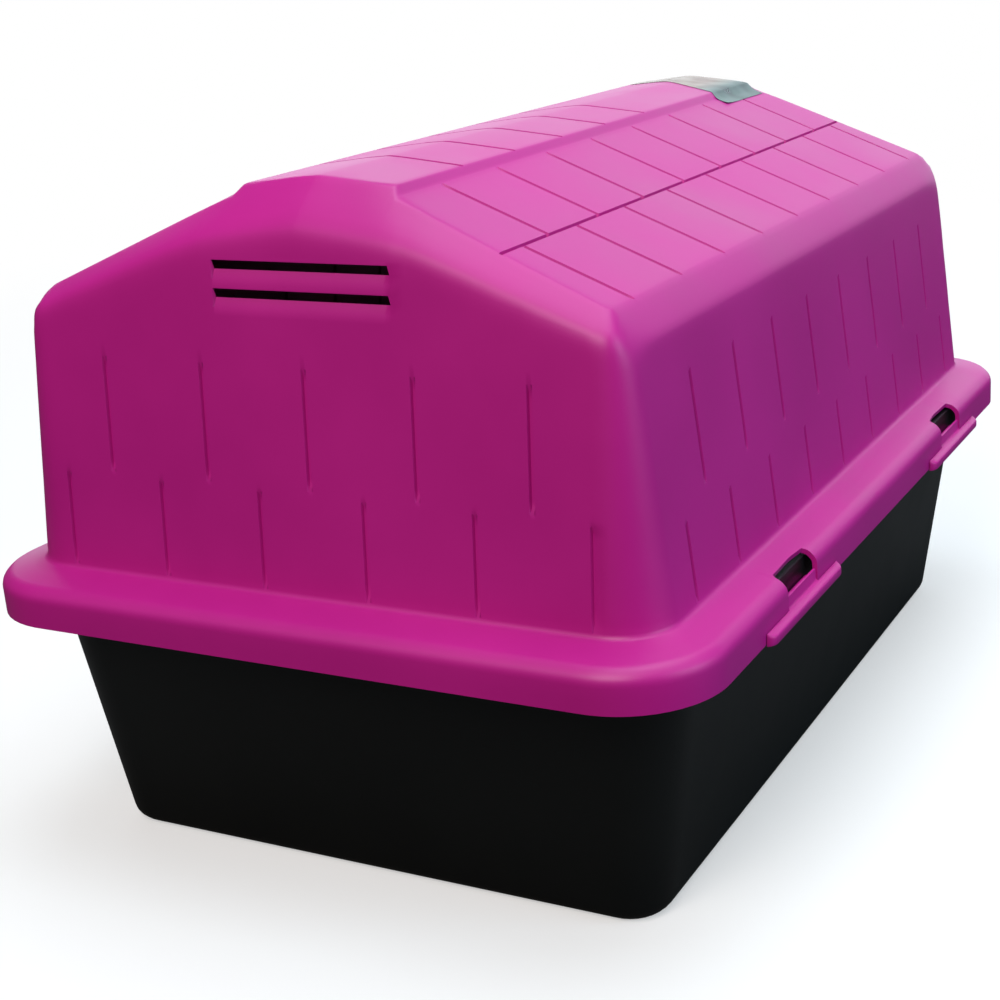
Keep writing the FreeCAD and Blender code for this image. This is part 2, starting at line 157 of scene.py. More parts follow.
def sizes():
    """All sizes in millimetres, with the heights and levels that follow from them."""
    group = bpy.context.scene.pet_house_sizes
    s = SimpleNamespace(**{name: getattr(group, name) / MM for name in PetHouseSizes.__annotations__})
    s.skirt_top = s.rim_bottom + s.skirt
    s.shoulder_z = s.skirt_top + s.shoulder
    s.foot_z = s.shoulder_z + s.rim_rise
    s.eave_z = s.foot_z + s.wall_height
    s.slope_z = s.eave_z + s.bevel_rise
    s.crest = s.ridge - s.crest_drop
    s.cap_z = s.crest - s.crown
    s.step_z = s.cap_z - s.step_rise
    s.foot_hw = s.rim_width / 2 - s.shoulder - s.rim_run_side
    s.foot_hl = s.rim_length / 2 - s.shoulder - s.rim_run_end
    s.eave_hw = s.foot_hw - s.side_lean
    s.slope_hw = s.eave_hw - s.bevel_run
    s.step_hw = s.cap_width / 2
    s.cap_hw = s.step_hw - s.step_run
    s.flange_top = s.shoulder_z - s.shell - s.seat_gap
    s.joint_x = (s.step_hw + s.slope_hw) / 2 + s.joint_shift
    s.vent_lows = (s.vent_bottom, s.vent_bottom + s.vent_pitch)
    s.arch_radius = ((s.door_width / 2) ** 2 + s.door_arch ** 2) / (2 * s.door_arch)
    s.arch_z = s.door_sill + s.door_side + s.door_arch - s.arch_radius
    return s


# Shape of the cover: distances to its faces, blended so that every moulded edge is soft

BAND_FALL, BAND_RAKE = 0.66, 0.3533  # fall of the gable band's raked parts along and across the house
END_FALL = 0.84  # fall of the band's middle, which ends the ridge cap
CREST_SOFT, BAND_SOFT = 6.0, 2.0  # roundings: the cap's crest, the band's middle to its raked parts,
EAVE_SOFT, RAKE_SOFT = 0.4, 0.28  # eave bevels to slopes, slopes to band,
STEP_SOFT, END_SOFT, STEP_FILL = 0.3, 0.4, 0.25  # the cap's edges and ends, the hollow beside it,
WALL_SOFT, GABLE_SOFT = 0.7, 2.0  # walls to roof, and more at the gables,
GABLE_START, GABLE_FADE = 245.0, 35.0  # from here along the house and over this length
SLOPE_LID = 3.0  # how far the slopes go on under the cap
HALVINGS = 40  # rounds that bring a point onto a surface


def soft_max(a, b, blend):
    """The larger of two distances, rounded over by blend where they are close."""
    return np.maximum(a, b) + blend * np.log1p(np.exp(-np.abs(a - b) / blend))


def soft_min(a, b, blend):
    """The smaller of two distances, filled in by blend where they are close."""
    return -soft_max(-a, -b, blend)


def plane(across, up, start, end):
    """Distance from a slanted plane through two points (across, up), positive above it."""
    run, rise = end[0] - start[0], end[1] - start[1]
    return ((up - start[1]) * run - (across - start[0]) * rise) / math.hypot(run, rise)


def rounded_rectangle(x, y, half_width, half_length, radius):
    """Distance in plan from a rounded rectangle, negative inside."""
    qx, qy = np.abs(x) - half_width + radius, np.abs(y) - half_length + radius
    outside = np.hypot(np.maximum(qx, 0), np.maximum(qy, 0))
    return outside + np.minimum(np.maximum(qx, qy), 0) - radius


def wall_outline(s, z):
    """Half width, half length and corner radius of the leaning walls at a height."""
    lean = (z - s.foot_z) / s.wall_height
    to_ridge = (z - s.foot_z) / (s.ridge - s.foot_z)
    radius = s.wall_foot_radius + (s.wall_top_radius - s.wall_foot_radius) * to_ridge
    return s.foot_hw - s.side_lean * lean, s.foot_hl - s.gable_lean * lean, radius


def cap_height(s, x):
    """Height of the ridge cap: two planes that fall from a soft crest."""
    half = math.hypot(s.cap_hw, CREST_SOFT) - CREST_SOFT
    return s.crest - s.crown / half * (np.hypot(x, CREST_SOFT) - CREST_SOFT)


def band_planes(s, x, y):
    """Heights of the slanted band's middle plane, which ends the ridge cap, and of its raked planes."""
    along = np.abs(y)
    middle = cap_height(s, x) - END_FALL * (along - s.cap_end)
    return middle, s.ridge - BAND_FALL * (along - s.band_start) - BAND_RAKE * (np.abs(x) - s.band_flat)


def band_field(s, x, y, z):
    """Distance from the slanted band: the larger of those from its planes, softly blended."""
    middle, rake = band_planes(s, x, y)
    rake_norm = math.sqrt(1 + BAND_FALL ** 2 + BAND_RAKE ** 2)
    return soft_max((z - middle) / math.hypot(1, END_FALL), (z - rake) / rake_norm, BAND_SOFT)


def cover_field(s, p):
    """Distance from the walls and roof: walls, eave bevels, slopes and gable bands meet in soft edges,
    and the ridge cap, two shallow planes between two steps, is joined on with soft hollows."""
    x, y, z = p[..., 0], p[..., 1], p[..., 2]
    across = np.abs(x)
    wall = rounded_rectangle(x, y, *wall_outline(s, z))
    bevel = plane(across, z, (s.slope_hw, s.slope_z), (s.eave_hw, s.eave_z))
    slope = plane(across, z, (s.step_hw, s.step_z), (s.slope_hw, s.slope_z))
    step = plane(across, z, (s.cap_hw, s.cap_z), (s.step_hw, s.step_z))
    band = band_field(s, x, y, z)
    wall_soft = WALL_SOFT + GABLE_SOFT * np.clip((np.abs(y) - GABLE_START) / GABLE_FADE, 0, 1) ** 2
    roof = soft_max(soft_max(bevel, slope, EAVE_SOFT), band, RAKE_SOFT)
    body = soft_max(soft_max(wall, roof, wall_soft), z - s.step_z - SLOPE_LID, STEP_SOFT)
    cap = soft_max(soft_max(z - cap_height(s, x), step, STEP_SOFT), band, END_SOFT)
    return soft_min(body, soft_max(wall, cap, wall_soft), STEP_FILL)


def solve_along(field, start, direction, reach):
    """Points start + t * direction where the field is zero, by halving t between -reach and reach."""
    low = np.full(start.shape[:-1], -reach)
    high = -low
    for _ in range(HALVINGS):
        middle = (low + high) / 2
        outside = field(start + direction * middle[..., None]) > 0
        high = np.where(outside, middle, high)
        low = np.where(outside, low, middle)
    return start + direction * ((low + high) / 2)[..., None]


def onto_cover(s, start, direction, reach):
    """Points moved along a direction onto the cover's walls and roof."""
    return solve_along(lambda p: cover_field(s, p), start, direction, reach)


# Grids: a patch of columns and rows whose border is also the first of the rings below it

LINE_GAP = 0.25  # mirrored lines nearer to each other than this are one


def around(edge_lines, groove_half):
    """Lines at a groove's edges and bottom, and just outside it to keep the wall beside it flat."""
    steps = (-1.7, -1, -0.5, 0.5, 1, 1.7)
    return [line + step * groove_half for line in edge_lines for step in steps]


def both_sides(values):
    """Values with their mirror images, sorted and without repeats."""
    every = np.unique(np.round(np.r_[-np.asarray(values), values], 4))
    return every[np.r_[True, np.diff(every) > LINE_GAP]]


def border(columns, rows):
    """Indices (row, column) once round a patch, anticlockwise seen from above."""
    c, r = np.arange(columns), np.arange(rows)
    row = np.r_[np.full(columns - 1, 0), r[:-1], np.full(columns - 1, rows - 1), r[:0:-1]]
    column = np.r_[c[:-1], np.full(rows - 1, columns - 1), c[:0:-1], np.full(rows - 1, 0)]
    return row, column


def grid_faces(number, closed=False):
    """Quads between neighbouring rows of vertex numbers; closed joins the last column to the first."""
    after = np.roll(number, -1, axis=1)
    if not closed:
        number, after = number[:, :-1], after[:, :-1]
    return np.stack([number[:-1], number[1:], after[1:], after[:-1]], -1).reshape(-1, 4)


def join_patch(patch, rings):
    """Vertices and faces of a patch whose border continues into rings; rings[0] equals the border."""
    rows, columns = patch.shape[:2]
    number = np.arange(rows * columns).reshape(rows, columns)
    below = number.size + np.arange(rings[1:, :, 0].size).reshape(len(rings) - 1, -1)
    ring_number = np.vstack([number[border(columns, rows)], below])
    vertices = np.vstack([patch.reshape(-1, 3), rings[1:].reshape(-1, 3)])
    return vertices, np.vstack([grid_faces(number.T), grid_faces(ring_number, closed=True)])


def unit(vectors):
    """Vectors brought to length one."""
    return vectors / np.maximum(np.linalg.norm(vectors, axis=-1, keepdims=True), 1e-12)


def vertex_normals(vertices, faces):
    """Normals at the vertices: the sum of the normals of the quads around each."""
    a, b, c, d = (vertices[faces[:, i]] for i in range(4))
    face_normal = np.cross(c - a, d - b)
    total = np.zeros_like(vertices)
    for corner in range(4):
        np.add.at(total, faces[:, corner], face_normal)
    return unit(total)


def thicken(vertices, faces, thickness):
    """A closed wall: the sheet, its copy moved in along the normals, and quads along every open edge.
    The thickness is one value or one for each vertex."""
    count = len(vertices)
    inner = vertices - vertex_normals(vertices, faces) * np.reshape(thickness, (-1, 1))
    start, end = faces.ravel(), np.roll(faces, -1, axis=1).ravel()
    is_open = ~np.isin(start * count + end, end * count + start)
    a, b = start[is_open], end[is_open]
    sides = np.stack([b, a, a + count, b + count], -1)
    return np.vstack([vertices, inner]), np.vstack([faces, faces[:, ::-1] + count, sides])


def compact(vertices, faces):
    """The vertices that faces use, renumbered."""
    used, renumbered = np.unique(faces, return_inverse=True)
    return vertices[used], renumbered.reshape(faces.shape)


def make_object(name, vertices, faces, material, sharp_angle=38.0):
    """A mesh object at the origin, from vertices in millimetres; edges past an angle are sharp."""
    mesh = bpy.data.meshes.new(name)
    mesh.from_pydata(vertices * MM, [], faces)
    mesh.validate()
    mesh.polygons.foreach_set("use_smooth", np.ones(len(mesh.polygons), bool))
    mesh.set_sharp_from_angle(angle=math.radians(sharp_angle))
    piece = bpy.data.objects.new(name, mesh)
    bpy.context.scene.collection.objects.link(piece)
    mesh.materials.append(material)
    return piece


def attach(piece, body, node):
    """The piece rides on a body and stands for its solid, which is hidden."""
    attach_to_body(piece, body)
    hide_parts(node)


# Perimeter of the house: lines across the gables, lines along the sides and rays round the corners

CORNER_X, CORNER_Y = 173.0, 249.5  # where each corner's rays start
RING_Z = 318.0  # height where walls and roof patch meet
RAY_MIDDLE, RAY_REACH = 150.0, 260.0  # where a ray's search is centred, and its reach


def perimeter_rays(columns_x, rows_y, corner_columns, corner_rows):
    """Start and direction in plan of every border point of the patch: straight out along gables and
    sides, and turning round each corner."""
    across, along = len(columns_x) + 2 * corner_columns, len(rows_y) + 2 * corner_rows
    row, column = border(across, along)
    sign = np.where(np.c_[column < across / 2, row < along / 2], -1.0, 1.0)
    from_side = np.minimum(np.minimum(column, across - 1 - column) / corner_columns, 1)
    from_gable = np.minimum(np.minimum(row, along - 1 - row) / corner_rows, 1)
    turn = np.radians(np.where(from_gable == 0, 45 + 45 * from_side, 45 - 45 * from_gable))
    start = np.c_[columns_x[np.clip(column - corner_columns, 0, len(columns_x) - 1)],
                  rows_y[np.clip(row - corner_rows, 0, len(rows_y) - 1)]]
    return start, sign * np.c_[np.cos(turn), np.sin(turn)]


def outline_points(rays, half_width, half_length, radius, height):
    """Where the rays meet a rounded rectangle, at one height."""
    start, direction = rays
    field = lambda p: rounded_rectangle(p[..., 0], p[..., 1], half_width, half_length, radius)
    plan = solve_along(field, start + direction * RAY_MIDDLE, direction, RAY_REACH)
    return np.c_[plan, np.full(len(plan), height)]


def bend(before, corner, after, reach_before, reach_after, count):
    """Points of a soft corner: a quadratic curve from the line before to the line after a corner."""
    a = corner + unit(before - corner) * reach_before
    b = corner + unit(after - corner) * reach_after
    t = np.linspace(0, 1, count)[:, None, None]
    return (1 - t) ** 2 * a + 2 * t * (1 - t) * corner + t ** 2 * b


def between(a, b, shares):
    """Points at given shares of the way from a to b."""
    return a + (b - a) * np.reshape(shares, (-1, 1, 1))


# Heights of the rings of the walls, close together where grooves end
WALL_LEVELS = (190, 197, 206, 218, 226, 229.5, 232, 234.5, 238.5, 241, 244, 247.5, 251, 262, 273, 288,
               296.5, 300, 303.5, 307, 310.5)


def wall_rings(s, rays, levels):
    """Where the rays meet the cover's walls at each of some heights."""
    start, direction = rays
    plan = start + direction * RAY_MIDDLE
    middle = np.stack([np.c_[plan, np.full(len(plan), z)] for z in levels])
    return onto_cover(s, middle, np.c_[direction, np.zeros(len(plan))], RAY_REACH)


def cover_rings(s, rays):
    """Rings of the cover's walls and rim, from under the roof down to the skirt's lower edge."""
    rim = np.array([s.rim_width / 2, s.rim_length / 2, s.rim_corner])
    skirt_low = outline_points(rays, *rim, s.rim_bottom)
    skirt_high = outline_points(rays, *rim, s.skirt_top)
    shoulder = outline_points(rays, *(rim - s.shoulder), s.shoulder_z)
    foot = outline_points(rays, s.foot_hw, s.foot_hl, s.wall_foot_radius, s.foot_z)
    walls = wall_rings(s, rays, (RING_Z, *WALL_LEVELS[::-1]))
    window_share = (s.window_reach - s.shoulder) / s.rim_run_side
    return np.concatenate([
        walls,
        bend(walls[-1], foot, shoulder, 2.5, 2.5, 4),
        between(shoulder, foot, (0.6, window_share, window_share - 0.06, window_share - 0.12)),
        bend(foot, shoulder, skirt_high, 2.6, 2.4, 4),
        bend(shoulder, skirt_high, skirt_low, 3.0, 4, 5),
        between(skirt_high, skirt_low, (0.6, 0.94, 1.0)),
    ])


def band_edge(s, x, z):
    """Distance from the middle where the slanted band starts at a height."""
    rake = s.band_start + (s.ridge - BAND_RAKE * (np.abs(x) - s.band_flat) - z) / BAND_FALL
    return np.minimum(rake, s.cap_end + (cap_height(s, x) - z) / END_FALL)


def roof_height(s, x):
    """Height of the sharp roof line over a distance from the ridge: cap, step and slope."""
    across = np.abs(x)
    beside = np.interp(across, (s.cap_hw, s.step_hw, s.slope_hw, s.eave_hw),
                       (s.cap_z, s.step_z, s.slope_z, s.eave_z))
    return np.where(across < s.cap_hw, cap_height(s, x), beside)


JOINT_SHARE = 0.65  # size of the joint between shingle rows against other grooves
CAP_LINES = (-4, -0.8, 0, 0.8)  # columns about the cap's edge
STEP_LINES = (-0.8, 0, 0.8, 4.6)  # and about the foot of its step
SPARE_COLUMNS = (12, 23, 82, 92, 122, 150, 160)  # columns that fill wide gaps
COLUMN_GAP = 0.4  # least gap between a later column and the others
VENT_MARGIN = 2.0  # width beside the vents where rows stay level


def cover_columns(s):
    """Lines across the house: cap steps, shingle joint and doorway's sides, then the gables' grooves and
    vent ends where they aren't too close to those."""
    joint = around([s.joint_x], s.groove * JOINT_SHARE)
    cap = [s.cap_hw + d for d in CAP_LINES] + [s.step_hw + d for d in STEP_LINES]
    lines = list(both_sides([*joint, *cap, s.door_width / 2, CORNER_X]))
    grooves = around([0.5 * s.gable_pitch * k for k in range(-5, 6)], s.groove)
    vents = [side * (s.vent_width / 2 + d) for side in (-1, 1) for d in (0, VENT_MARGIN)]
    shifted = [v - s.gable_shift for v in (*grooves, *vents)]
    for line in (*shifted, *both_sides(SPARE_COLUMNS)):
        if abs(line) < CORNER_X - 1 and min(abs(line - other) for other in lines) > COLUMN_GAP:
            lines.append(line)
    return np.array(sorted(lines))


def cover_rows(s):
    """Lines along the house: the grooves' lines and the ends of the latch windows."""
    grooves = around([0.5 * s.side_pitch * k for k in range(9)], s.groove)
    windows = [s.window_offset + d * s.window_length / 2 for d in (-1, 1)]
    lines = np.array(sorted([v for v in (*grooves, *windows) if v > -0.01]))
    return both_sides(np.r_[lines[lines < CORNER_Y - 1], CORNER_Y])


GABLE_LEVELS = (318, 325, 331, 336.5, 341.5)  # rows below the vents
GABLE_SHARES = (0.25, 0.5, 0.72, 0.88, 1.0)  # rows from the vents to the band
BAND_SHARES = (0.06, 0.16, 0.35, 0.6, 0.85, 0.97, 1.0)  # rows up the band
ROOF_SHARES = (0.06, 0.25, 0.6)  # rows from the band to the first of the roof
BAND_FOOT = 360.0  # where gable and band meet
EAVE_STEPS = (0.0, 0.55, 1.0, 1.18, 1.5, 1.82, 2.0, 2.25, 2.6, 3.0)  # columns over the eave, in legs
EAVE_TURN = (10, 35, 70, 90)  # degrees from upright at the legs' ends
ROOF_CORNER = len(EAVE_STEPS) - 1
PATCH_REACH, EAVE_REACH, CORNER_REACH = 25.0, 20.0, 30.0  # how far points may move
CENTRE_IN, CENTRE_DOWN = 70.0, 60.0  # centre of the corner points' directions


def cover_patch(s, columns_x, rows_y):
    """Grid over gable, band and roof: columns keep their x, roof rows their y, and gable rows follow
    the vents and, beside them, the slanted band. Points move onto the surface along a direction that
    turns from the gable's to the roof's."""
    low, high = s.vent_lows
    fixed = np.r_[GABLE_LEVELS, low, low + s.vent_height, high - s.vent_height, high, high + s.vent_height]
    x = columns_x
    wall_y = wall_outline(s, BAND_FOOT)[1]
    edge_z = np.minimum(*band_planes(s, x, wall_y))
    vent_edge = s.vent_width / 2 + s.gable_shift + VENT_MARGIN
    reference = np.minimum(*band_planes(s, vent_edge, wall_y))
    squeeze = np.where(np.abs(x) > vent_edge, (edge_z - RING_Z) / (reference - RING_Z), 1.0)
    low_z = RING_Z + (fixed[:, None] - RING_Z) * squeeze
    high_z = low_z[-1] + np.reshape(GABLE_SHARES, (-1, 1)) * (edge_z - low_z[-1])
    gable_z = np.vstack([low_z, high_z])
    gable = np.stack([np.broadcast_to(x, gable_z.shape), wall_outline(s, gable_z)[1], gable_z], -1)
    roof_z = roof_height(s, x)
    roof_edge = np.c_[x, band_edge(s, x, roof_z), roof_z]
    last = np.c_[x, np.full_like(x, CORNER_Y), roof_z]
    rear = np.concatenate([gable, between(gable[-1], roof_edge, BAND_SHARES),
                           between(roof_edge, last, ROOF_SHARES)])
    roof = np.stack(np.broadcast_arrays(x, rows_y[:, None], roof_z), -1)
    points = np.concatenate([rear * (1, -1, 1), roof, rear[::-1]])
    upright = np.r_[np.zeros(len(gable)), BAND_SHARES, np.ones(len(ROOF_SHARES))]
    upright = np.r_[upright, np.ones(len(rows_y)), upright[::-1]]
    side = np.where(np.arange(len(points)) < len(rear), -1.0, 1.0)
    direction = unit(np.c_[np.zeros_like(upright), side * (1 - upright), upright])
    return onto_cover(s, points, direction[:, None], PATCH_REACH), len(rear)


def eave_columns(s, row_points, sign):
    """Points from the last slope column over the bevel and down to the ring, at each row's y."""
    path = np.array([(CORNER_X, roof_height(s, CORNER_X)), (s.slope_hw, s.slope_z), (s.eave_hw, s.eave_z),
                     (wall_outline(s, RING_Z)[0], RING_Z)])
    across, up, turn = (np.interp(EAVE_STEPS, np.arange(4), leg) for leg in (*path.T, np.radians(EAVE_TURN)))
    points = np.stack(np.broadcast_arrays(sign * across, row_points[:, 1:2], up), -1)
    direction = np.c_[sign * np.sin(turn), np.zeros_like(turn), np.cos(turn)]
    return onto_cover(s, points, direction, EAVE_REACH)


def coons(patch):
    """A patch filled from its border lines by Coons's rule: two ruled blends less the bilinear one."""
    bottom, top, left, right = patch[0], patch[-1], patch[:, :1], patch[:, -1:]
    v, u = np.linspace(0, 1, len(patch))[:, None, None], np.linspace(0, 1, len(bottom))[:, None]
    ruled = (1 - v) * bottom + v * top + (1 - u) * left + u * right
    low, high = ((1 - u) * line[0] + u * line[-1] for line in (bottom, top))
    return ruled - (1 - v) * low - v * high


def build_cover(s):
    """Vertices and faces of the cover's outer sheet, before grooves and openings. The corners of the roof
    patch are filled from their border lines, and the points are then moved onto the surface."""
    columns_x, rows_y = cover_columns(s), cover_rows(s)
    middle, reach = cover_patch(s, columns_x, rows_y)
    outer = ROOF_CORNER
    rings = cover_rings(s, perimeter_rays(columns_x, rows_y, outer, reach))
    rows, columns = len(middle), len(columns_x) + 2 * outer
    patch = np.zeros((rows, columns, 3))
    patch[:, outer:-outer] = middle
    patch[border(columns, rows)] = rings[0]
    roof_rows = slice(reach, rows - reach)
    patch[roof_rows, -outer - 1:-1] = eave_columns(s, middle[roof_rows, -1], 1)[:, :-1]
    patch[roof_rows, 1:outer + 1] = eave_columns(s, middle[roof_rows, 0], -1)[:, -2::-1]
    for sign_y in (-1, 1):
        for sign_x in (-1, 1):
            corner = patch[::-sign_y, ::-sign_x][:reach + 1, :outer + 1]
            guess = coons(corner)[1:-1, 1:-1]
            plan = sign_x * (CORNER_X - CENTRE_IN), sign_y * (CORNER_Y - CENTRE_IN)
            direction = unit(guess - np.array([*plan, RING_Z - CENTRE_DOWN]))
            corner[1:-1, 1:-1] = onto_cover(s, guess, direction, CORNER_REACH)
    return join_patch(patch, rings)


# Grooves and openings of the cover

GABLE_PLANKS = (238.5, 247.5, 307.0)  # heights where lower grooves end, and upper ones start and end
SIDE_PLANKS = (226.0, 244.0, 300.0)  # the same on the long sides
PLANK_START, GROOVE_FADE = 3.0, 3.0  # lowest grooves over the rim, fading
GABLE_REACH, ODD_REACH, EVEN_REACH = 150.0, 225.0, 250.0  # how far from the middle grooves go
CAP_JOINTS = (-100.0, 200.0)  # the cap's joints lie between these
DOOR_CLEAR, STEP_CLEAR = 2.0, 4.0  # gaps beside the doorway and the cap
SLOPE_CLEAR, SLOPE_PAST = 0.5, 2.0  # limits of the slopes' grooves
FACING, CAP_FACING = 0.85, 0.9  # least share of a normal that faces a direction
VENT_SILL, VENT_DRAW = 5.0, 2.2  # height and depth of the drawn-in sill below each vent
WINDOW_ROUND = 5.0  # rounding of the windows' inner corners
GABLE_ZONE = 25.0  # how far in from the walls' foot the gables reach


def groove_profile(distance, half_width):
    """Depth share of a groove: one over its flat bottom, rising steeply to zero at its edges."""
    return np.clip((1 - np.abs(distance) / half_width) / 0.5, 0, 1)


def groove_lines(s, value, pitch, offset, reach):
    """Depth share of evenly spaced grooves, as far from the middle as reach."""
    distance = value - offset - pitch * np.round((value - offset) / pitch)
    return groove_profile(distance, s.groove) * (np.abs(value) < reach)


def soft_range(value, low, high):
    """One between low and high, fading to zero over a short length at both ends."""
    return np.clip((value - low) / GROOVE_FADE + 1, 0, 1) * np.clip((high - value) / GROOVE_FADE + 1, 0, 1)


def plank_rows(s, z, lower, upper, heights):
    """Depth share of two rows of planks, from the grooves of each row and the heights of their ends."""
    lower_end, upper_start, upper_end = heights
    return np.maximum(lower * soft_range(z, s.foot_z, lower_end),
                      upper * soft_range(z, upper_start, upper_end))


def groove_depth(s, p, normal):
    """How deep the moulded grooves go at each point: two staggered rows of planks on the walls, two
    staggered rows of shingles on the slopes with a joint between them, and joints across the cap."""
    x, y, z = p.T
    across, off = np.abs(x), x + s.gable_shift
    odd = groove_lines(s, y, s.side_pitch, s.side_pitch / 2, ODD_REACH)
    even = groove_lines(s, y, s.side_pitch, 0, EVEN_REACH)
    gable_upper = groove_lines(s, off, s.gable_pitch, 0, GABLE_REACH)
    gable_lower = groove_lines(s, off, s.gable_pitch, s.gable_pitch / 2, math.inf)
    above_rim = z > s.foot_z + PLANK_START
    beside_door = (y > 0) | (across > s.door_width / 2 + DOOR_CLEAR)
    gable = (np.abs(normal[:, 1]) > FACING) & above_rim & beside_door
    side = (np.abs(normal[:, 0]) > FACING) & above_rim
    planks = np.where(gable, plank_rows(s, z, gable_lower, gable_upper, GABLE_PLANKS), 0)
    planks = np.where(side, plank_rows(s, z, even, odd, SIDE_PLANKS), planks)
    joint = groove_profile(across - s.joint_x, s.groove * JOINT_SHARE) * JOINT_SHARE
    upper = odd * (across < s.joint_x) * (across > s.step_hw + STEP_CLEAR)
    shingles = np.maximum(joint, np.maximum(upper, even * (across > s.joint_x)))
    slope = (normal[:, 2] > FACING) & (across > s.step_hw + SLOPE_CLEAR)
    slope &= z > s.slope_z - SLOPE_PAST
    cap = (normal[:, 2] > CAP_FACING) & (across < s.step_hw)
    cap_joints = even * (y > CAP_JOINTS[0]) * (y < CAP_JOINTS[1])
    shingles = np.where(cap, cap_joints, np.where(slope, shingles, 0))
    return planks * s.groove_depth + shingles * s.shingle_depth


def vent_ramp(s, p):
    """How far the wall is drawn in below each vent slot: a ramp that deepens towards the slot."""
    x, y, z = p.T
    below = (np.abs(x + s.gable_shift) < s.vent_width / 2 + 0.1) & (y > 0)
    ramps = [np.clip((z - low) / VENT_SILL + 1, 0, 1) * (z < low + 0.1) for low in s.vent_lows]
    return np.maximum(*ramps) * below * VENT_DRAW


def door_outline(s):
    """The doorway's outline in the plane of the gable: a sill, two sides and a low arch."""
    half = s.door_width / 2
    reach = math.asin(half / s.arch_radius)
    turn = np.linspace(reach, -reach, 60)
    arch = np.c_[s.arch_radius * np.sin(turn), s.arch_z + s.arch_radius * np.cos(turn)]
    side = np.linspace(s.door_sill, s.door_sill + s.door_side, 20)[:-1]
    sill = np.linspace(-half, half, 40)[:-1]
    return np.vstack([np.c_[sill, np.full_like(sill, s.door_sill)], np.c_[np.full_like(side, half), side],
                      arch, np.c_[np.full_like(side, -half), side[::-1]]])


def inside_door(s, x, z):
    """Whether points of the gable's plane lie in the doorway."""
    top = s.arch_z + np.sqrt(np.maximum(s.arch_radius ** 2 - x ** 2, 0))
    return (np.abs(x) < s.door_width / 2) & (z > s.door_sill) & (z < top)


def round_windows(s, vertices, edge):
    """Draw the edges of the latch windows inwards at their inner corners, onto quarter circles."""
    across, along = np.abs(vertices[edge, :2]).T
    side, end = np.sign(vertices[edge, :2]).T
    from_middle = along - s.window_offset
    corner = np.c_[s.window_reach - s.rim_width / 2 + across, s.window_length / 2 - np.abs(from_middle)]
    corner -= WINDOW_ROUND
    away = np.linalg.norm(corner, axis=1)
    inwards = corner * (WINDOW_ROUND / np.maximum(away, WINDOW_ROUND) - 1)[:, None]
    inwards[(corner > 0).any(1)] = 0
    vertices[edge, 0] += inwards[:, 0] * side
    vertices[edge, 1] -= inwards[:, 1] * np.sign(from_middle) * end


def draw_door(s, vertices, edge):
    """Draw the doorway's edge onto its outline: each point goes to the nearest place on the outline."""
    start = door_outline(s)
    leg = np.roll(start, -1, axis=0) - start
    point = vertices[edge][:, None, [0, 2]]
    t = np.clip(((point - start) * leg).sum(-1) / np.maximum((leg ** 2).sum(-1), 1e-9), 0, 1)
    foot = start + leg * t[..., None]
    best = np.linalg.norm(foot - point, axis=-1).argmin(1)
    vertices[np.ix_(edge, [0, 2])] = foot[np.arange(len(edge)), best]


def open_cover(s, vertices, faces):
    """Take the faces out of vents, windows and doorway, and give the last two their outlines."""
    x, y, z = vertices[faces].mean(1).T
    at_gable = np.abs(y) > s.foot_hl - GABLE_ZONE
    slot = np.any([(z > low) & (z < low + s.vent_height) for low in s.vent_lows], axis=0)
    vents = at_gable & (y > 0) & slot & (np.abs(x + s.gable_shift) < s.vent_width / 2)
    windows = np.abs(np.abs(y) - s.window_offset) < s.window_length / 2
    windows &= (np.abs(x) > s.rim_width / 2 - s.window_reach) & (z < s.foot_z)
    door = at_gable & (y < 0) & inside_door(s, x, z) & (z > s.foot_z)
    kept = faces[~(vents | windows | door)]
    vertices = vertices.copy()
    for give_outline, gone in ((round_windows, windows), (draw_door, door)):
        give_outline(s, vertices, np.intersect1d(faces[gone], kept))
    return vertices, kept


def cover_mesh(s):
    """The finished cover: soft sheet, grooves pressed in, openings cut and the wall given its thickness."""
    vertices, faces = build_cover(s)
    normal = vertex_normals(vertices, faces)
    depth = groove_depth(s, vertices, normal) + vent_ramp(s, vertices)
    pressed = vertices - normal * depth[:, None]
    opened, kept = open_cover(s, vertices, faces)
    moved = pressed + (opened - vertices)
    return thicken(*compact(moved, kept), s.shell)


TUB_COLUMNS, TUB_ROWS, TUB_CORNER = 25, 35, 8  # lines of the floor's patch and round its corners
PATCH_INSET = 42.0  # how far inside the foot the corners' rays start
FLOOR_INSET, FLOOR_ROUND = 22.0, 14.0  # edge of the floor's patch inside the foot


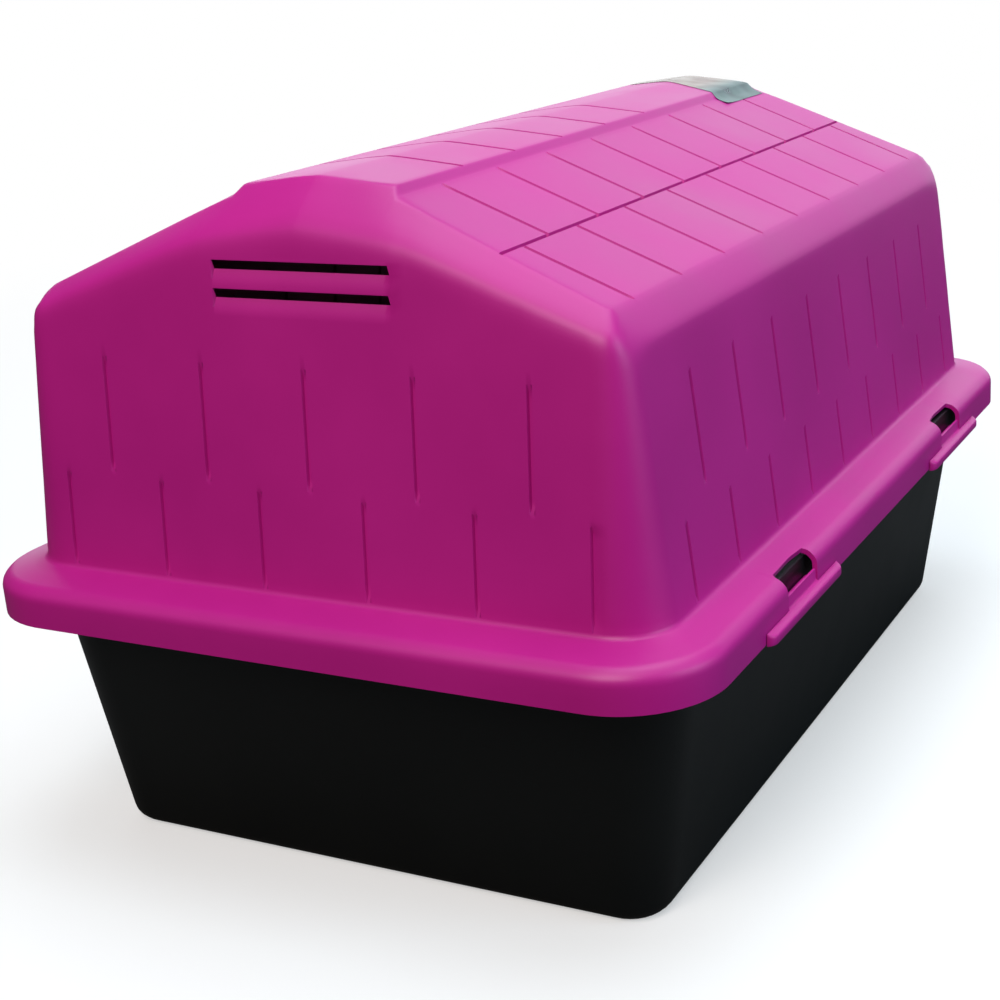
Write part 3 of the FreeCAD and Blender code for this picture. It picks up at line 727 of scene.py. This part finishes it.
def tub_mesh(s):
    """The tub: a floor patch and rings up the leaning walls, out under the flange and down its lip,
    each ring a rounded rectangle, with soft corners between and the wall given its thickness inwards."""
    top_z = s.flange_top - s.tub_wall
    hw, hl = s.tub_half_width - s.tub_side_lean, s.tub_half_length - s.tub_end_lean
    bevel = s.tub_foot_bevel
    columns = np.linspace(PATCH_INSET - hw, hw - PATCH_INSET, TUB_COLUMNS)
    rows = np.linspace(PATCH_INSET - hl, hl - PATCH_INSET, TUB_ROWS)
    rays = perimeter_rays(columns, rows, TUB_CORNER, TUB_CORNER)
    edge = np.array([s.rim_width / 2, s.rim_length / 2, s.rim_corner]) - s.shoulder - s.shell - s.tub_wall
    floor_ring = outline_points(rays, hw - FLOOR_INSET, hl - FLOOR_INSET, FLOOR_ROUND, 0.0)
    outline = np.array([hw, hl, s.tub_foot_radius])
    sole = outline_points(rays, *(outline - bevel), 0.0)
    foot = outline_points(rays, *outline, bevel)
    top = outline_points(rays, s.tub_half_width, s.tub_half_length, s.tub_top_radius, top_z)
    flange = outline_points(rays, *edge, top_z)
    lip = outline_points(rays, *edge, top_z - s.flange_lip)
    rings = np.concatenate([
        floor_ring[None],
        bend(floor_ring, sole, foot, 4, 3, 5),
        bend(sole, foot, top, 3, 4, 5),
        between(foot, top, (0.2, 0.4, 0.6, 0.8)),
        bend(foot, top, flange, 4, 4, 5),
        between(top, flange, (0.5,)),
        bend(top, flange, lip, 0.6, 0.6, 7),
        lip[None],
    ])
    across, along = TUB_COLUMNS + 2 * TUB_CORNER, TUB_ROWS + 2 * TUB_CORNER
    patch = np.zeros((along, across, 3))
    patch[border(across, along)] = floor_ring
    vertices, faces = join_patch(coons(patch), rings)
    faces = faces[:, ::-1]
    normal = vertex_normals(vertices, faces)
    square = np.maximum(np.abs(normal[:, 2]), np.hypot(normal[:, 0], normal[:, 1]))
    return thicken(vertices, faces, s.tub_wall / square)


LIP_SLIM, LIP_THICK, LIP_FALL = 2.5, 7.0, 1.5  # the lip: raised below, root, fall of its top
LIP_SOFT, LIP_ROUND = 1.1, 6.0  # rounding of its edges and length of its rounded ends
SILL_DROP = 2.0  # how far the tongue stays below the CAD's latch
LEDGE_RUN, LEDGE_DROP, LEDGE_THICK = 4.7, 4.5, 4.0  # the ledge inside, below the tongue's top
ROOT_OUT, FACE_IN = 0.4, 1.0  # the lip's root and the tongue's face, from the skirt
WINDOW_CLEAR, TONGUE_STEP = 0.4, 0.3  # gap and end faces of the tongue


def latch_mesh(s, side, end):
    """A snap latch: one closed section carried along the rim. Outside the window it is the finger lip
    alone, with rounded ends, and inside it also goes up as a thin tongue with a ledge. Small offsets
    take the edges off its corners."""
    low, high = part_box("left_rear_latch")
    lip_low, sill, outer = low.z / MM + LIP_SLIM, high.z / MM - SILL_DROP, -low.x / MM
    half_lip = (high.y - low.y) / MM / 2
    skirt = s.rim_width / 2
    root, face, inside = skirt + ROOT_OUT, skirt - FACE_IN, skirt - s.shell
    ledge, ledge_top = inside - LEDGE_RUN, sill - LEDGE_DROP
    ledge_low = ledge_top - LEDGE_THICK
    lip_top = lip_low + LIP_THICK
    lip_edge = lip_top - LIP_FALL
    soft = LIP_SOFT
    lip = [(root, lip_top), (root + 1.5, lip_top - 0.2), (outer - soft, lip_edge + 0.25),
           (outer - 0.3, lip_edge - 0.3), (outer, lip_edge - soft), (outer, lip_low + soft),
           (outer - 0.3, lip_low + 0.3), (outer - soft, lip_low)]
    tongue = [(root, lip_low), (inside + soft, lip_low), (inside + 0.3, lip_low + 0.3),
              (inside, lip_low + soft), (inside, ledge_low - 0.6), (inside - 0.5, ledge_low),
              (ledge + 0.6, ledge_low), (ledge, ledge_low + 0.6), (ledge, ledge_top - 0.6),
              (ledge + 0.6, ledge_top), (inside - 0.4, ledge_top), (inside, ledge_top + 0.4),
              (inside, sill - 0.6), (inside + 0.6, sill), (face - 0.9, sill), (face - 0.25, sill - 0.25),
              (face, sill - 0.9), (face, lip_top + 1.2), (face + 0.4, lip_top + 0.3)]
    back = np.c_[np.full(len(tongue), root), np.linspace(lip_low, lip_top, len(tongue), endpoint=False)]
    with_tongue, bare = np.array(lip + tongue), np.vstack([lip, back])
    taper = np.array([0.0, 0.12, 0.35, 0.7, 1.0])
    bulge = np.maximum(np.sqrt(1 - (1 - taper) ** 2), 0.04)[:, None]
    rounded = np.repeat(bare[None], len(taper), axis=0)
    rounded[..., 0] = root + (rounded[..., 0] - root) * bulge
    half_tongue = s.window_length / 2 - WINDOW_CLEAR
    tongue_ends = np.array([half_tongue + TONGUE_STEP, half_tongue])
    lip_ends = half_lip - LIP_ROUND * taper
    along = np.r_[s.latch_offset + lip_ends, s.window_offset + tongue_ends,
                  s.window_offset - tongue_ends[::-1], s.latch_offset - lip_ends[::-1]]
    sections = np.concatenate([rounded, [bare, with_tongue, with_tongue, bare], rounded[::-1]])
    x = side * sections[..., 0]
    y = end * np.broadcast_to(along[:, None], x.shape)
    vertices = np.stack([x, y, sections[..., 1]], -1).reshape(-1, 3)
    number = np.arange(len(vertices)).reshape(x.shape)
    faces = [*grid_faces(number, closed=True).tolist(), number[0].tolist(), number[-1, ::-1].tolist()]
    return vertices, faces if side * end > 0 else [face[::-1] for face in faces]


LABEL_FAR, LABEL_NEAR = 43.0, -184.0  # far side across the house, and near end along it
LABEL_SLANT, SLANT_RUN = 56.0, 91.0  # slant of the near edge, and its width
LABEL_FOLD, LABEL_FOOT = 0.86, 0.9  # shares of the width at the step's edge and foot
LABEL_HANG, LABEL_GAP = 9.0, 1.5  # hang past the step, gap at the cap's end
FILM_LIFT, CURL_LIFT = 0.45, 1.0  # height above the cap, and more at the lifted corner
FILM_THICK, BRIDGE = 0.2, 4  # thickness, and points averaged to each side
SEARCH_Z, FILM_REACH = 396.0, 30.0  # where the search for the cap starts, and its reach


def label_mesh(s):
    """Blank film: a grid laid a hair above the ridge cap and folded down over one step. Heights are
    averaged across, which bridges the hollow at the step's foot, and one corner lifts a little."""
    v = np.linspace(0, 1, 25)
    u = np.r_[np.linspace(0, LABEL_FOLD, 30), np.linspace(0.868, 1, 16)]
    across = np.interp(u, (0, LABEL_FOLD, LABEL_FOOT, 1),
                       (LABEL_FAR, -s.cap_hw, -s.step_hw, -s.step_hw - LABEL_HANG))
    front = LABEL_GAP - s.cap_end
    x, y = np.meshgrid(across, front + (LABEL_NEAR - front) * v)
    y = y - LABEL_SLANT * np.clip((x + s.cap_hw) / SLANT_RUN, 0, 1) * v[:, None]
    start = np.stack([x, y, np.full_like(x, SEARCH_Z)], -1)
    lying = onto_cover(s, start, np.array([0, 0, 1]), FILM_REACH)
    hanging, near = np.clip((u - LABEL_FOOT) / 0.1, 0, 1), np.clip((v - 0.7) / 0.3, 0, 1)
    height = lying[..., 2] + FILM_LIFT + CURL_LIFT * hanging ** 2 * near[:, None] ** 2
    padded = np.pad(height, ((0, 0), (BRIDGE, BRIDGE)), mode="reflect", reflect_type="odd")
    window = 2 * BRIDGE + 1
    bridged = sum(padded[:, k:k + len(u)] for k in range(window)) / window
    lying[..., 2] = np.maximum(height, bridged)
    return thicken(lying.reshape(-1, 3), grid_faces(np.arange(x.size).reshape(x.shape)), FILM_THICK)


# Materials


def add_node(tree, kind, inputs=None, **settings):
    """Add a shader node with its settings; inputs are values or sockets of other nodes."""
    node = tree.nodes.new("ShaderNode" + kind)
    for name, value in settings.items():
        setattr(node, name, value)
    for name, value in (inputs or {}).items():
        if isinstance(value, bpy.types.NodeSocket):
            tree.links.new(value, node.inputs[name])
        else:
            node.inputs[name].default_value = value
    return node


def noise(tree, place, size, detail):
    """Noise with spots of a size in millimetres."""
    inputs = {"Vector": place, "Scale": 1 / (size * MM), "Detail": detail}
    return add_node(tree, "TexNoise", inputs).outputs["Fac"]


def relief(tree, height, strength, depth):
    """A normal tilted by a height, whose depth is in millimetres."""
    inputs = {"Height": height, "Strength": strength, "Distance": depth * MM}
    return add_node(tree, "Bump", inputs).outputs["Normal"]


def spread(tree, value, low, high, to_low=0.0, to_high=1.0):
    """A socket's value carried from one range to another."""
    inputs = {"Value": value, "From Min": low, "From Max": high, "To Min": to_low, "To Max": to_high}
    return add_node(tree, "MapRange", inputs).outputs["Result"]


def new_material(name):
    """An empty node material, in place of any older one of that name, and its node tree."""
    old = bpy.data.materials.get(name)
    if old:
        bpy.data.materials.remove(old)
    material = bpy.data.materials.new(name)
    material.use_nodes = True
    material.node_tree.nodes.clear()
    return material, material.node_tree


def polypropylene(tree, inputs):
    """The principled shader that polypropylene has, on the material's output."""
    shader = add_node(tree, "BsdfPrincipled", {"IOR": 1.49, **inputs})
    add_node(tree, "OutputMaterial", {"Surface": shader.outputs["BSDF"]})


GRAIN, FLOW, FILM_WAVES = 1.6, 90, 25  # sizes of the noises in millimetres
FLOW_RANGE = (0.3, 0.7)  # part of the flow's noise that shows
# the film's colour turns to the painted shade of its fold over this range
FOLD_SHADE_RANGE = (-44 * MM, -26 * MM)  # where the film's colour changes


def moulded_polypropylene(name, base, roughness, tint):
    """Injection-moulded polypropylene: satin, from a fine spark-eroded tool grain, with a faint mottling
    of flow and handling in its colour and gloss. The grain of about 0.6 mm is drawn at 1.6 mm to show."""
    material, tree = new_material(name)
    place = add_node(tree, "TexCoord").outputs["Object"]
    flow = noise(tree, place, FLOW, 3.0)
    shade = add_node(tree, "ValToRGB", {"Fac": flow})
    for stop, position, share in zip(shade.color_ramp.elements, FLOW_RANGE, (1 - tint, 1 + tint)):
        stop.position = position
        stop.color = (*(min(1.0, c * share) for c in base), 1)
    polypropylene(tree, {
        "Base Color": shade.outputs["Color"],
        "Roughness": spread(tree, flow, *FLOW_RANGE, roughness - 0.03, roughness + 0.04),
        "Normal": relief(tree, noise(tree, place, GRAIN, 2.0), 0.12, 0.1)})
    return material


def clear_film(base, folded):
    """Cast polypropylene film, its print left off: thin, half see-through and a little glossy, beige where
    it lies on the cap and greyer where it folds down, that grey a painted shade of the fold, with faint
    waves about 25 mm long."""
    material, tree = new_material("Cast polypropylene film")
    place = add_node(tree, "TexCoord").outputs["Object"]
    waves = noise(tree, place, FILM_WAVES, 1.0)
    across = add_node(tree, "SeparateXYZ", {"Vector": place}).outputs["X"]
    # painted shade: the film is mixed towards a greyer colour over its fold
    tone_and_fold_shade = {"Factor": spread(tree, across, *FOLD_SHADE_RANGE), "A": (*folded, 1), "B": (*base, 1)}
    polypropylene(tree, {
        "Base Color": add_node(tree, "Mix", tone_and_fold_shade, data_type="RGBA").outputs["Result"],
        "Roughness": 0.4, "Specular IOR Level": 0.2,
        "Alpha": spread(tree, waves, 0.35, 0.65, 0.55, 0.85),
        "Normal": relief(tree, waves, 0.3, 0.5)})
    return material


def cover_material():
    """The cover's plastic, shared by the cover and its latches."""
    name = "Moulded polypropylene, magenta"
    base = tuple(bpy.context.scene.pet_house_colours.cover)
    return bpy.data.materials.get(name) or moulded_polypropylene(name, base, 0.46, 0.05)


# Operators, one for each piece or group of like pieces


class PETHOUSE_OT_tub(bpy.types.Operator):
    """Make the tapered tub with its flange"""

    bl_idname = "pethouse.tub"
    bl_label = "Tub"

    def execute(self, context):
        base = tuple(context.scene.pet_house_colours.tub)
        material = moulded_polypropylene("Moulded polypropylene, black", base, 0.38, 0.08)
        piece = make_object("base_tub_moulding", *tub_mesh(sizes()), material)
        attach(piece, "tub", "base_tub")
        return {"FINISHED"}


class PETHOUSE_OT_cover(bpy.types.Operator):
    """Make the cover with rim, planked walls, vents, doorway and shingled roof"""

    bl_idname = "pethouse.cover"
    bl_label = "Cover"

    def execute(self, context):
        piece = make_object("roof_cover_moulding", *cover_mesh(sizes()), cover_material())
        attach(piece, "cover", "roof_cover")
        return {"FINISHED"}


class PETHOUSE_OT_latches(bpy.types.Operator):
    """Make the four snap latches of the rim"""

    bl_idname = "pethouse.latches"
    bl_label = "Latches"

    def execute(self, context):
        s = sizes()
        for name, (side, end) in LATCHES.items():
            piece = make_object(f"{name}_moulding", *latch_mesh(s, side, end), cover_material())
            attach(piece, name, name)
        return {"FINISHED"}


class PETHOUSE_OT_label(bpy.types.Operator):
    """Lay the blank film over the front end of the ridge cap"""

    bl_idname = "pethouse.label"
    bl_label = "Label"

    def execute(self, context):
        colours = context.scene.pet_house_colours
        # the second colour is the painted shade of the film's fold
        material = clear_film(tuple(colours.film), tuple(colours.film_fold_shade))
        piece = make_object("ridge_label_film", *label_mesh(sizes()), material)
        attach(piece, "cover", "ridge_label")
        return {"FINISHED"}


CAMERA_PLACE = (-0.5431, 1.0305, 0.5274)
CAMERA_YAW, CAMERA_PITCH, CAMERA_ROLL = 207.17, 18.17, -3.487
CAMERA_LENS = 62.94
CAMERA_SHIFT = (-0.080, -0.0042)
SOFTBOXES = {  # place, width and height in metres, then watts and tint
    "Overhead softbox": ((-0.3, -0.2, 2.4), (2.0, 2.0), 50.0, (0.80, 0.92, 1.0)),
    "Back softbox": ((0.9, -2.5, 0.98), (4.6, 1.7), 51.0, (0.82, 0.93, 1.0)),
    "Gable softbox": ((-0.2, 2.3, 2.3), (1.6, 1.6), 62.0, (1.0, 0.90, 0.84)),
    "Side softbox": ((-2.8, 0.0, 1.3), (1.6, 1.6), 40.0, (0.62, 0.84, 1.0)),
}
LIGHT_AIM = (0, 0, 0.22)
GLOW = 0.12  # light from all round
WHITE, DIM = (1, 1, 1, 1), (0.07, 0.07, 0.07, 1)
FLOOR_RADII = (0.02, 0.4, 1.0, 3.0, 9.0, 30.0)
FLOOR_FADE = (0.4, 2.2, 0.45, 1.0)  # distances, and the share of white at each


class PETHOUSE_OT_stage(bpy.types.Operator):
    """Set up the pale floor, the soft studio light and the camera"""

    bl_idname = "pethouse.stage"
    bl_label = "Stage"

    def execute(self, context):
        scene = context.scene
        self.add_floor(scene)
        self.add_light(scene)
        self.add_camera(scene)
        scene.view_settings.view_transform = "Standard"
        return {"FINISHED"}

    def add_floor(self, scene):
        """A round floor: rings of growing radius about the house. The camera sees it fade to white, and
        other rays meet a dim matt floor."""
        turn = np.linspace(0, 2 * math.pi, 96, endpoint=False)
        ring = np.c_[np.cos(turn), np.sin(turn), np.zeros_like(turn)]
        vertices = np.reshape(FLOOR_RADII, (-1, 1, 1)) / MM * ring
        number = np.arange(vertices[..., 0].size).reshape(vertices.shape[:2])
        material, tree = new_material("Pale studio floor")
        place = add_node(tree, "TexCoord").outputs["Object"]
        away = add_node(tree, "VectorMath", {0: place}, operation="LENGTH").outputs["Value"]
        base = (*scene.pet_house_colours.floor, 1)
        lit, dim = (add_node(tree, "BsdfDiffuse", {"Color": c}).outputs["BSDF"] for c in (base, DIM))
        white = add_node(tree, "Emission", {"Color": WHITE}).outputs["Emission"]
        shown = add_node(tree, "MixShader", {"Fac": spread(tree, away, *FLOOR_FADE), 1: lit, 2: white})
        seen = add_node(tree, "LightPath").outputs["Is Camera Ray"]
        matt = add_node(tree, "MixShader", {"Fac": seen, 1: dim, 2: shown.outputs["Shader"]})
        add_node(tree, "OutputMaterial", {"Surface": matt.outputs["Shader"]})
        faces = grid_faces(number, closed=True)
        make_object("studio_floor", vertices.reshape(-1, 3), faces, material)

    def add_light(self, scene):
        """Four softboxes and a low even glow from all round; the camera sees plain white beyond."""
        scene.world = bpy.data.worlds.new("Studio")
        scene.world.use_nodes = True
        tree = scene.world.node_tree
        tree.nodes.clear()
        seen = add_node(tree, "LightPath").outputs["Is Camera Ray"]
        inputs = {"Color": WHITE, "Strength": spread(tree, seen, 0.0, 1.0, GLOW, 1.0)}
        glow = add_node(tree, "Background", inputs)
        add_node(tree, "OutputWorld", {"Surface": glow.outputs["Background"]})
        for name, settings in SOFTBOXES.items():
            self.add_softbox(scene, name, *settings)

    def add_softbox(self, scene, name, place, extent, watts, tint):
        """A soft light of a given width and height, turned towards the middle of the house."""
        lamp = bpy.data.lights.new(name, "AREA")
        lamp.shape = "RECTANGLE"
        lamp.size, lamp.size_y = extent
        lamp.energy, lamp.color = watts, tint
        box = bpy.data.objects.new(name, lamp)
        box.location = place
        towards = Vector(LIGHT_AIM) - Vector(place)
        box.rotation_euler = towards.to_track_quat("-Z", "Y").to_euler()
        scene.collection.objects.link(box)

    def add_camera(self, scene):
        """The photograph's view point, turn and lens, for a square frame."""
        data = bpy.data.cameras.new("Photo view")
        data.lens = CAMERA_LENS
        data.shift_x, data.shift_y = CAMERA_SHIFT
        camera = bpy.data.objects.new("Photo view", data)
        yaw, pitch, roll = (math.radians(a) for a in (CAMERA_YAW, 90 - CAMERA_PITCH, CAMERA_ROLL))
        turn = Matrix.Rotation(yaw, 4, "Z") @ Matrix.Rotation(pitch, 4, "X") @ Matrix.Rotation(roll, 4, "Z")
        camera.matrix_world = Matrix.Translation(CAMERA_PLACE) @ turn
        scene.collection.objects.link(camera)
        scene.camera = camera


OPERATORS = (PETHOUSE_OT_tub, PETHOUSE_OT_cover, PETHOUSE_OT_latches, PETHOUSE_OT_label, PETHOUSE_OT_stage)


class PETHOUSE_PT_panel(bpy.types.Panel):
    """Lists the pet house's pieces, sizes and colours"""

    bl_idname = "PETHOUSE_PT_panel"
    bl_label = "Pet House"
    bl_space_type = "VIEW_3D"
    bl_region_type = "UI"
    bl_category = "Pet House"

    def draw(self, context):
        for operator in OPERATORS:
            self.layout.operator(operator.bl_idname)
        for group in (context.scene.pet_house_colours, context.scene.pet_house_sizes):
            for name in group.bl_rna.properties.keys():
                if name not in ("rna_type", "name"):
                    self.layout.prop(group, name)


CLASSES = (PetHouseSizes, PetHouseColours, *OPERATORS, PETHOUSE_PT_panel)


def register():
    for one in CLASSES:
        bpy.utils.register_class(one)
    bpy.types.Scene.pet_house_sizes = bpy.props.PointerProperty(type=PetHouseSizes)
    bpy.types.Scene.pet_house_colours = bpy.props.PointerProperty(type=PetHouseColours)


def unregister():
    del bpy.types.Scene.pet_house_colours
    del bpy.types.Scene.pet_house_sizes
    for one in reversed(CLASSES):
        bpy.utils.unregister_class(one)


def main():
    """Register the classes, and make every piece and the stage."""
    register()
    bpy.ops.pethouse.tub()
    bpy.ops.pethouse.cover()
    bpy.ops.pethouse.latches()
    bpy.ops.pethouse.label()
    bpy.ops.pethouse.stage()


if __name__ == "__main__":
    main()
